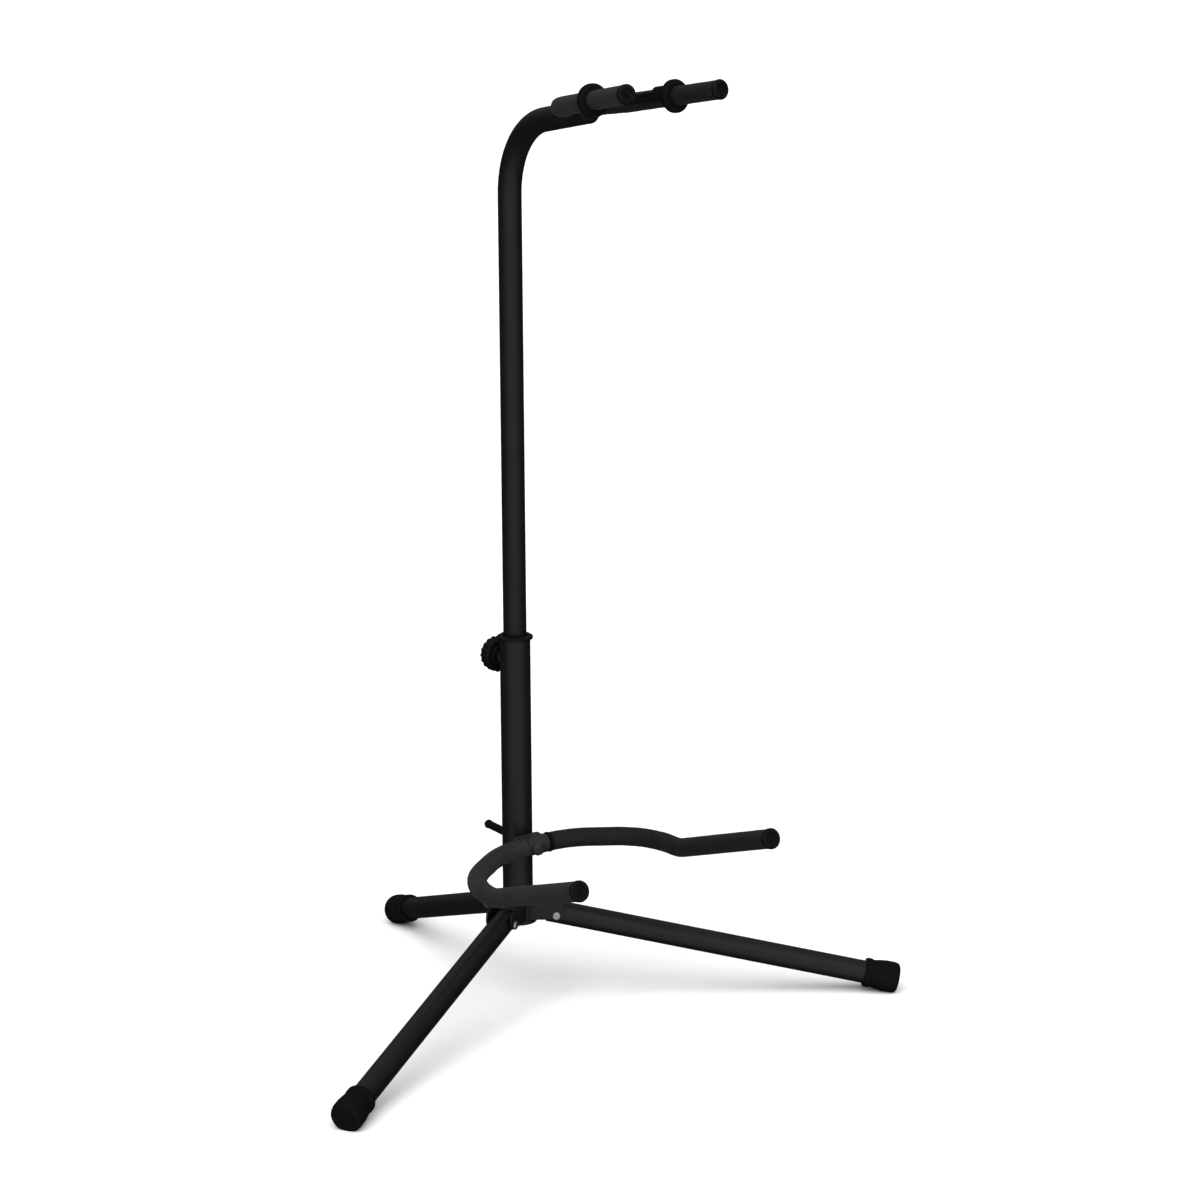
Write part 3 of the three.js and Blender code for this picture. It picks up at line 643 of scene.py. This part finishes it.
def make_knob():
    boss = rounded([(4.4, 12.2), (7, 12.2), (7, 19), (4.4, 19), (4.4, 12.2)], [0, 0.2, 0.8, 0.3, 0])
    piece("knob_boss_skin", placed(turned(boss), at(0, 0, KNOB_Z), BACK), COAT, "base", ["knob_boss"])
    weld_bead("knob_boss_weld", at(0, 12.7, KNOB_Z), BACK, 7.2, 0.9, 16, "base")

    flutes, depth = 18, 1.0
    start, end, rim = 21.5, 33, 14.75

    def fluted(angles, radius):
        share = np.clip((radius - 12.5) / 1.5, 0, 1)
        scallop = np.abs(np.cos(angles * flutes / 2)) ** 1.6
        return radius - depth * share * (1 - scallop)

    outline = [
        (4.2, 19.6), (8.6, 19.6), (9, 21.5), (12.6, start), (rim, start + 1.6), (rim, end - 2),
        (12.8, end), (10.2, end), (9.4, end - 0.8), (3, end - 1.2), (0, end - 1.2),
    ]
    outline = rounded(outline, [0, 0.6, 0.8, 0.8, 1.2, 1.6, 0.8, 0.5, 0.6, 1, 0])
    bore = [(0, 25), (4.2, 25)]
    grip = placed(turned(bore + outline, sides=flutes * 12, shape=fluted), at(0, 0, KNOB_Z), BACK)
    piece("knob_grip_moulding", grip, PLASTIC, "knob", ["knob_grip"])

    crest, root, pitch = 3.9, 3.28, 1.25
    threads = [(0, 9.95), (2.6, 9.95), (3.2, 10.8)]
    for height in np.arange(11.2, 24, pitch):
        threads += [(root, height), (crest, height + pitch * 0.48)]
    threads += [(3.3, 24.8), (0, 24.8)]
    stud = placed(turned(threads), at(0, 0, KNOB_Z), BACK)
    piece("knob_stud_thread", stud, BRIGHT, "knob", ["knob_stud"])


make_knob()

# ---- hub and legs ----


def leg_axes(side):
    """Level directions across a leg and out along it."""
    turn = math.radians(LEGS[side][0])
    return Vector((math.cos(turn), math.sin(turn), 0)), Vector((math.sin(turn), -math.cos(turn), 0))


def leg_point(side, x, reach, up):
    """A point x across a leg, reach out from the mast's axis and up from the floor."""
    across, out = leg_axes(side)
    return MAST + (across * x + out * reach + Vector((0, 0, up))) * MM


def clevis(side):
    """Two ears and the short roof between them that the open leg rests against."""
    outline = [(EAR_ROOT, EAR_BOTTOM), (EAR_END, EAR_BOTTOM), (EAR_END, EAR_TOP), (EAR_ROOT, EAR_TOP)]
    outline = rounded(outline, [0.5, 7, 8, 0.5], closed=True)
    shells = []
    for sign in (-1, 1):
        middle = sign * (EAR_INNER + EAR_THICK / 2)
        ear = plate(outline, EAR_THICK, lambda u, v, w, m=middle: leg_point(side, m + w, u, v))
        shells.append(ear)
    low, high, start = EAR_TOP - 2.3, EAR_TOP - 0.2, 14
    roof = [(start, low), (STOP_END, low), (STOP_END, high), (start, high)]
    roof = rounded(roof, [0.2, 0.3, 1.2, 0.2], closed=True)
    width = 2 * EAR_INNER + 1
    shells.append(plate(roof, width, lambda u, v, w: leg_point(side, w, u, v), bevel=0.2))
    return merged(*shells)


def make_hub():
    bore = LOWER_R + 0.15
    ring = [
        (bore, HUB_BOTTOM), (HUB_RING_R, HUB_BOTTOM), (HUB_RING_R, HUB_TOP), (bore, HUB_TOP),
        (bore, HUB_BOTTOM),
    ]
    sleeve = placed(turned(rounded(ring, [0, 0.6, 0.8, 0.3, 0])), MAST, (0, 0, 1))
    hub = merged(sleeve, *(clevis(side) for side in LEGS))
    piece("leg_hub_sheet", hub, COAT, "base", ["leg_hub"])
    weld_bead("hub_top_weld", at(0, 0, HUB_TOP + 0.2), (0, 0, 1), LOWER_R + 1.2, 1.3, 22, "base")
    top = LOWER_BOTTOM - 0.2
    outline = [
        (0, top - 2.6), (4, top - 2.6), (5, top - 2.1), (10.2, top - 2.1), (12.4, top - 1), (12.4, top),
        (11, top), (11, top + 8), (0, top + 8),
    ]
    plug = placed(turned(rounded(outline, 0.6)), MAST, (0, 0, 1))
    piece("hub_plug_moulding", plug, PLASTIC, "base", ["hub_plug"])


def make_rivet(side):
    across, _ = leg_axes(side)
    head = EAR_INNER + EAR_THICK
    dome = [
        (2.5, head - 3), (2.5, head + 0.05), (3.7, head + 0.05), (3.7, head + 0.5), (2.9, head + 1.4),
        (1.4, head + 1.8), (0.9, head + 1.5), (0, head + 1.4),
    ]
    dome = rounded(dome, [0, 0.1, 0.2, 0.5, 1.0, 0.4, 0.3, 0])
    outline = [(r, -h) for r, h in reversed(dome)] + dome
    rivet = placed(turned(outline, sides=40), leg_point(side, 0, PIVOT_R, PIVOT_Z), across)
    piece(f"leg_rivet_{side}_head", rivet, BRIGHT, "base", [f"leg_rivet_{side}"])


def make_leg(side):
    _, out = leg_axes(side)
    foot = LEGS[side][1]
    slope = math.atan((PIVOT_Z - FOOT_Z) / (foot - PIVOT_R))
    outward = out * math.cos(slope) - Vector((0, 0, math.sin(slope)))
    pivot = leg_point(side, 0, PIVOT_R, PIVOT_Z)
    length = (foot - PIVOT_R) / math.cos(slope) * MM
    past_rivet, in_boot = 7.6 * MM, 6.4 * MM
    line = np.array([pivot - outward * past_rivet, pivot + outward * (length - in_boot)])
    line = stretch(line, 0, distances(line)[-1], 12 * MM)
    tube = hollow_tube(line, LEG_R * MM, (LEG_R - WALL) * MM)
    piece(f"leg_tube_{side}_skin", tube, COAT, f"leg_{side}", [f"leg_tube_{side}"])

    bore, big, lip = LEG_R + 0.2, 13.0, 12.2
    outline = [
        (0, 0.4), (7.5, 0.4), (8.2, 0), (10, 0.2), (12.2, 1.4), (big, 4.6), (big, 11.5), (12.1, 18.5),
        (11.35, 21.6), (11.5, 23), (lip, 24.2), (lip, 27.6), (11.4, 29), (bore, 29), (bore, 6.2),
        (0, 6.2),
    ]
    outline = rounded(outline, [0, 0.2, 0.3, 2, 2.4, 3, 6, 6, 1.2, 0.8, 0.9, 1.0, 0.5, 0.3, 0.2, 0])
    points, faces = placed(turned(outline, sides=96), leg_point(side, 0, foot, FOOT_Z), -outward)
    # The weight of the stand presses the underside flat on the floor.
    points = [[x, y, max(z, 0)] for x, y, z in points]
    piece(f"leg_boot_{side}_rubber", (points, faces), RUBBER, f"leg_{side}", [f"leg_boot_{side}"])


make_hub()
for leg_side in LEGS:
    make_rivet(leg_side)
    make_leg(leg_side)

# ---- foam, rods and caps ----


FOAM_SIDES = 84
FOLD_PITCH = 6.2 * MM  # from one crease to the next
FOLD_REACH = 26 * MM  # how far from their middle the creases fade
FOLD_BEND = 55 * MM  # the bend radius at which the foam creases fully
RIBS, RIB_HEIGHT = 21, 0.06 * MM
SEAM_ANGLE, SEAM_WIDTH, SEAM_DEPTH = 2.1, 0.05, 0.16 * MM
FOAM_EDGE = 1.1 * MM  # rounding of a sleeve's ends


def bend_of(tangents, along):
    """Which way a line bends at each point, and how strongly, smoothed along it."""
    turning = np.gradient(tangents, along, axis=0)
    kernel = np.hanning(15)
    kernel /= kernel.sum()
    turning = np.stack([np.convolve(turning[:, k], kernel, mode="same") for k in range(3)], axis=1)
    bend = np.linalg.norm(turning, axis=1)
    return turning / (bend[:, None] + 1e-9), bend


def foam_tube(name, line, outer, inner, look, body, node, wrinkle, seed, creased):
    """A foam sleeve with fine ribs along it, creased on the inside of its tightest bend."""
    line = stretch(line, 0, distances(line)[-1], 0.9 * MM)
    along = distances(line)
    length = along[-1]
    tangents, across, up = travelling_axes(line)
    inward, bend = bend_of(tangents, along)
    bend = np.clip(bend * FOLD_BEND, 0, 1) * np.exp(-(((along - creased) / FOLD_REACH) ** 2))
    bend = bend[:, None]
    angles = np.arange(FOAM_SIDES) * 2 * math.pi / FOAM_SIDES
    cosines, sines = np.cos(angles)[None, :, None], np.sin(angles)[None, :, None]
    radial = across[:, None] * cosines + up[:, None] * sines
    inside = (radial * inward[:, None]).sum(2)
    rough = np.zeros((len(line), FOAM_SIDES))
    for i, j in np.ndindex(rough.shape):
        spot = Vector(line[i] + radial[i, j] * outer) + Vector((seed, 0, 0))
        rough[i, j] = noise.noise(spot * 160) * 0.6 + noise.noise(spot * 420) * 0.25

    crease = (1 - np.abs(np.sin(math.pi * (along[:, None] / FOLD_PITCH + rough * 0.5 + seed)))) ** 2.2
    squeezed = np.clip(inside + 0.25, 0, 1.25) / 1.25
    radii = np.full_like(rough, outer)
    radii -= wrinkle * bend * squeezed * crease
    radii += 0.35 * wrinkle * bend * squeezed * (1 - crease)
    radii += rough * (0.1 * MM + 0.35 * MM * bend)
    radii += RIB_HEIGHT * np.cos(angles * RIBS)[None, :] * (0.6 + 0.8 * rough)
    radii -= SEAM_DEPTH * np.exp(-(((angles - SEAM_ANGLE) / SEAM_WIDTH) ** 2))[None, :]
    from_edge = np.clip(1 - np.minimum(along, length - along) / FOAM_EDGE, 0, 1)
    radii -= (FOAM_EDGE * (1 - np.sqrt(1 - from_edge**2)))[:, None]
    loops = line[:, None] + radial * radii[:, :, None]
    hole = swept(stretch(line, 0, length, 6 * MM), inner, FOAM_SIDES)[::-1]
    sleeve = piece(name, skin(np.concatenate([loops, hole]), closed=True), look, body, [node])


def rod(name, line, radius, look, body, node):
    """A solid rod with rounded ends."""
    along = distances(line)
    edge = 0.6 * MM
    inside = along[(along > edge) & (along < along[-1] - edge)]
    places = np.concatenate([[0, edge], inside, [along[-1] - edge, along[-1]]])
    points = np.stack([np.interp(places, along, line[:, k]) for k in range(3)], axis=1)
    radii = np.full(len(points), radius)
    radii[[0, -1]] = radius - edge
    piece(name, skin(swept(points, radii, 48)), look, body, [node])


def cap_outline(radius, bore):
    """Profile of a tip's cap: a raised rim round a dished face with a pip in the middle."""
    rim = radius * 0.6
    outline = [
        (0, 0.7), (1.1, 0.7), (1.5, 0), (2.1, -0.9), (rim - 0.5, -0.9), (rim, 0.5),
        (radius - 1.5, 0.5), (radius, -0.8), (radius, -CAP_DEPTH + 0.4), (radius - 0.5, -CAP_DEPTH),
        (bore, -CAP_DEPTH), (bore, -CAP_FACE), (0, -CAP_FACE),
    ]
    return rounded(outline, [0, 0.3, 0.3, 0.3, 0.4, 0.5, 0.8, 0.8, 0.3, 0.3, 0.1, 0.2, 0])


def tips(line):
    """The end points of a rod's line, with the direction out of each."""
    return {"left": (line[0], line[0] - line[1]), "right": (line[-1], line[-1] - line[-2])}


def make_cradle():
    right = [
        at(32, CRADLE_Y, CRADLE_Z), at(86.5, -66, CRADLE_Z), at(88.5, -107.5, CRADLE_Z),
        at(88.6, -236, CRADLE_Z + 43.2),
    ]
    radii = [r * MM for r in (38, 64, 60, 60, 64, 38)]
    line = bent_line(mirrored(right) + right, radii)
    length = distances(line)[-1]
    half = length / 2
    middle = stretch(line, ROD_SHORT, length - ROD_SHORT, 2 * MM)
    rod("cradle_rod_skin", middle, 5 * MM, COAT, "cradle", "cradle_rod")

    cap_depth, gap, ring_width = (CAP_DEPTH + 0.2) * MM, 0.1 * MM, 2.4 * MM
    ring_from = half + (BRACKET_HALF + 1) * MM
    ring_to = ring_from + ring_width
    foam = {
        "left": (cap_depth - gap, half + (KNUCKLE_LEFT - 0.2) * MM),
        "right": (ring_to + gap, length - cap_depth + gap),
    }
    # The look (lighter foam as painted light on the near left sleeve, a darker copy as painted shade on
    # the far right one), the seed, and the depth and place of the creases of each sleeve.
    folds = {"left": (FOAM_LIT, 0.0, 1.7, 166), "right": (FOAM_PAINTED_SHADE, 7.3, 0.5, 88)}
    for side, (look, seed, wrinkle, creased) in folds.items():
        part = stretch(line, *foam[side], 1 * MM)
        foam_tube(
            f"cradle_foam_{side}_sleeve", part, CRADLE_FOAM_R * MM, 5.2 * MM, look, "cradle",
            f"cradle_foam_{side}", wrinkle * MM, seed, creased * MM,
        )
    cap = cap_outline(8.3, 5.4)
    for side, (tip, outward) in tips(line).items():
        shell = placed(turned(cap), Vector(tip), outward)
        piece(f"cradle_cap_{side}_moulding", shell, GLOSS, "cradle", [f"cradle_cap_{side}"])

    ring_line = stretch(line, ring_from, ring_to, 0.3 * MM)
    bulge = np.sin(np.linspace(0, math.pi, len(ring_line))) ** 0.4 * 0.5 * MM
    loops = np.concatenate([swept(ring_line, 7.9 * MM + bulge), swept(ring_line, 5.4 * MM)[::-1]])
    piece("foam_end_ring_rubber", skin(loops, closed=True), RUBBER, "cradle", ["foam_end_ring"])
    make_bracket()


def make_bracket():
    """The sheet folded round the rod, with its two flaps against the mast."""
    axis = at(0, CRADLE_Y, CRADLE_Z)
    shells = []
    left, right = KNUCKLE_LEFT, BRACKET_HALF
    knuckle = [(5.45, left), (7.75, left), (7.75, right), (5.45, right), (5.45, left)]
    shells.append(placed(turned(rounded(knuckle, [0, 0.8, 0.8, 0.3, 0])), axis, (1, 0, 0)))
    flap = rounded([(-right, -7), (right, -7), (right, 7), (-right, 7)], 3, closed=True)
    sides = rounded([(left, -6.6), (right, -6.6), (right, 6.6), (left, 6.6)], 1.5, closed=True)
    back = -LOWER_R - 0.6
    for outline, front in ((flap, CRADLE_Y + CRADLE_FOAM_R + 0.4), (sides, CRADLE_Y + 5)):
        middle, thick = (back + front) / 2, back - front
        shells.append(plate(outline, thick, lambda u, v, w, m=middle: at(u, m + w, CRADLE_Z + v)))
    piece("cradle_bracket_sheet", merged(*shells), LIGHTER_COAT, "cradle", ["cradle_bracket"])


def make_pivot():
    under, end = -33, 46
    outline = [
        (0, under - 3.7), (3.3, under - 3.2), (5.4, under - 1.8), (6, under - 0.4), (6, under),
        (2.5, under), (2.5, end), (0, end),
    ]
    outline = rounded(outline, [0, 2, 2, 0.4, 0.2, 0, 0.2, 0])
    axis = at(0, 0, CRADLE_Z)
    bolt = placed(turned(outline), axis, BACK)
    piece("pivot_bolt_shank", bolt, LIGHTER_COAT, "base", ["pivot_bolt"])

    start, height = LOWER_R + 0.2, 3.4

    def hexagonal(angles, radius):
        corner = np.cos(math.pi / 6) / np.cos((angles % (math.pi / 3)) - math.pi / 6)
        return np.where(radius > 4.5, radius * corner, radius)

    end = start + height
    nut = [
        (2.7, start), (5.2, start), (5.8, start + 0.5), (5.8, end - 0.6), (5.1, end), (2.7, end),
        (2.7, start),
    ]
    nut = placed(turned(rounded(nut, [0] + [0.2] * 5 + [0]), shape=hexagonal), axis, BACK)
    piece("pivot_nut_hex", nut, BRIGHT, "base", ["pivot_nut"])

    sleeve = [(2.7, 19), (3.3, 19)]
    for rib in range(20, 42, 2):
        sleeve += [(3.4, rib), (3.25, rib + 1)]
    sleeve += [(3.5, 43), (3.8, 46), (2.6, 48.4), (0, 48.8), (0, 46.3), (2.7, 46.3), (2.7, 19)]
    sleeve = placed(turned(sleeve), axis, BACK)
    piece("pivot_end_cap_rubber", sleeve, RUBBER, "base", ["pivot_end_cap"])


make_cradle()
make_pivot()

# ---- neck yoke ----


def make_yoke():
    right = [at(29.8, YOKE_Y, YOKE_Z), at(41, -228, 756.5)]
    line = bent_line(mirrored(right) + right, [YOKE_BEND_R * MM] * 2)
    length = distances(line)[-1]
    half = length / 2
    middle = stretch(line, ROD_SHORT, length - ROD_SHORT, 2 * MM)
    rod("yoke_rod_skin", middle, 4 * MM, COAT, "upper_mast", "yoke_rod")
    for side, x in (("left", -9.3), ("right", 9.3)):
        weld_bead(f"yoke_weld_{side}", at(x, YOKE_Y, YOKE_Z), (1, 0, 0), 4.5, 0.9, 14, "upper_mast")

    cap_depth = (CAP_DEPTH + 0.1) * MM
    split = YOKE_FOAM_SPLIT * MM
    foam = {"left": (cap_depth, half - split), "right": (half + split, length - cap_depth)}
    cap = cap_outline(7.5, 4.4)
    # The look (lighter foam as painted light on the near left sleeve, a darker copy as painted shade on
    # the far right one), the seed and the place of the creases of each sleeve.
    folds = {"left": (FOAM_LIT, 3.1, 110), "right": (FOAM_PAINTED_SHADE, 11.7, 14)}
    for side, (look, seed, creased) in folds.items():
        part = stretch(line, *foam[side], 1 * MM)
        foam_tube(
            f"yoke_foam_{side}_sleeve", part, YOKE_FOAM_R * MM, 4.2 * MM, look, "upper_mast",
            f"yoke_foam_{side}", 0.8 * MM, seed, creased * MM,
        )
        tip, outward = tips(line)[side]
        shell = placed(turned(cap), Vector(tip), outward)
        piece(f"yoke_cap_{side}_moulding", shell, GLOSS, "upper_mast", [f"yoke_cap_{side}"])
        make_ring(side, line, length, outward)
    make_strap(line, length)


def ring_place(side, line, length):
    start = RING_FROM_TIP * MM if side == "left" else length - RING_FROM_TIP * MM
    return Vector(stretch(line, start, start + MM, MM)[0])


def make_ring(side, line, length, outward):
    bore = 7.2
    outline = [
        (bore, -3.5), (10.4, -3.5), (12.5, -1.6), (12.5, 1.6), (10.4, 3.5), (bore, 3.5), (bore, -3.5),
    ]
    outline = rounded(outline, [0, 1.2, 1.4, 1.4, 1.2, 0.5, 0])
    ring = turned(outline)
    if side == "right":
        flat = [(-3, -15.5), (3, -15.5), (3, 0), (-3, 0)]
        tab = rounded(flat, [3.2, 3.2, 0.2, 0.2], closed=True)
        aside = Matrix.Rotation(TAB_TURN, 3, "Z")
        tab = plate(tab, 2, lambda u, v, w: aside @ Vector((u, 9.9 + w, v)) * MM, bevel=0.6)
        ring = merged(ring, tab)
    ring = placed(ring, ring_place(side, line, length), outward)
    piece(f"yoke_ring_{side}_rubber", ring, RUBBER, "upper_mast", [f"yoke_ring_{side}"])


def make_strap(line, length):
    """A slack rubber band between the two rings, lying back inside the yoke."""
    left, right = (ring_place(side, line, length) for side in ("left", "right"))
    inset, lean, wave = 12.6 * MM, 4 * MM, 7 * MM
    back = at(0, YOKE_Y - YOKE_FOAM_R - STRAP_DEPTH, 0).y
    left = Vector((left.x + inset, left.y, left.z))
    right = Vector((right.x - inset, right.y, right.z))
    corners = [
        left, Vector((left.x + lean, back, left.z - lean)),
        Vector((right.x - lean, back, right.z - lean)), right,
    ]
    path = bent_line(corners, [STRAP_BEND_R * MM] * 2)
    path = stretch(path, 0, distances(path)[-1], 1 * MM)
    path[:, 2] += 0.5 * MM * np.sin(distances(path) / wave)
    tangents = np.gradient(path, axis=0)
    tangents /= np.linalg.norm(tangents, axis=1)[:, None]
    across = np.cross(tangents, (0, 0, 1))
    thin, high = STRAP_THICK / 2, STRAP_HEIGHT / 2
    section = rounded([(-thin, -high), (thin, -high), (thin, high), (-thin, high)], 0.6, closed=True)
    upward = np.array((0, 0, 1))
    loops = []
    for point, side in zip(path, across):
        loops.append([point + (side * u + upward * v) * MM for u, v in section])
    piece("neck_strap_band", skin(loops), RUBBER, "upper_mast", ["neck_strap"])


make_yoke()
